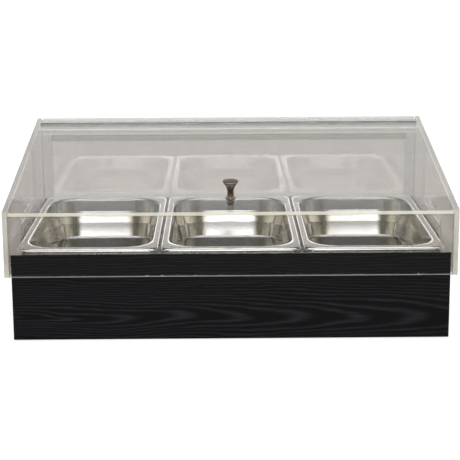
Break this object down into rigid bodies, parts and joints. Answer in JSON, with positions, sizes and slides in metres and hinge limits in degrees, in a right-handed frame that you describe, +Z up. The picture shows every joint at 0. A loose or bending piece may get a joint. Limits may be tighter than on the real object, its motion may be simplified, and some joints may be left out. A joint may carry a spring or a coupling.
{
  "type": "condiment caddy",
  "caption": "Low dark wooden base holding a row of lift-out steel food pans under a clear sloping guard with a hinged flip lid and a small metal knob.",
  "frame": {"origin": "below the middle of the caddy, on the surface that its rubber feet stand on", "axes": "+X to the right seen from the front, +Y to the back, +Z up"},
  "size_m": [0.557, 0.361, 0.228],
  "materials": {
    "wood_veneer": "black-stained open-grain veneer, satin",
    "painted_board": "plain board, matt black paint",
    "pan_steel": "pressed stainless sheet, satin inside with a polished flange",
    "clear_acrylic": "clear, polished, with pale edges",
    "clear_hinge": "clear, moulded",
    "dark_nickel": "turned metal, dark nickel plate",
    "zinc_steel": "bright plated",
    "foot_rubber": "matt"
  },
  "bodies": {
    "base": {"base_front_board": "wood_veneer", "base_back_board": "wood_veneer", "base_left_board": "wood_veneer", "base_right_board": "wood_veneer", "base_floor": "painted_board", "left_divider": "painted_board", "right_divider": "painted_board", "corner_blocks": "painted_board", "floor_screws": "zinc_steel", "rubber_feet": "foot_rubber"},
    "pan_left": {"pan_left": "pan_steel"},
    "pan_center": {"pan_center": "pan_steel"},
    "pan_right": {"pan_right": "pan_steel"},
    "guard": {"guard_left_side": "clear_acrylic", "guard_right_side": "clear_acrylic", "guard_front_apron": "clear_acrylic", "guard_back_panel": "clear_acrylic", "guard_rear_strip": "clear_acrylic", "front_left_post": "clear_acrylic", "front_right_post": "clear_acrylic", "rear_left_post": "clear_acrylic", "rear_right_post": "clear_acrylic", "rear_cross_bar": "clear_acrylic", "hinge_fixed_leaf": "clear_hinge", "hinge_pin": "zinc_steel"},
    "lid": {"lid_panel": "clear_acrylic", "hinge_lid_leaf": "clear_hinge", "lid_knob": "dark_nickel", "knob_washer": "zinc_steel", "knob_screw": "zinc_steel"}
  },
  "joints": [
    {"name": "pan_left_lift", "type": "slide", "parent": "base", "child": "pan_left", "axis": [0, 0, 1], "range_m": [0, 0.04]},
    {"name": "pan_center_lift", "type": "slide", "parent": "base", "child": "pan_center", "axis": [0, 0, 1], "range_m": [0, 0.04]},
    {"name": "pan_right_lift", "type": "slide", "parent": "base", "child": "pan_right", "axis": [0, 0, 1], "range_m": [0, 0.04]},
    {"name": "guard_lift", "type": "slide", "parent": "base", "child": "guard", "axis": [0, 0, 1], "range_m": [0, 0.06]},
    {"name": "lid_hinge", "type": "hinge", "parent": "guard", "child": "lid", "pos_m": [0, 0.15463, 0.22483], "axis": [-1, 0, 0], "range_deg": [0, 110]}
  ]
}
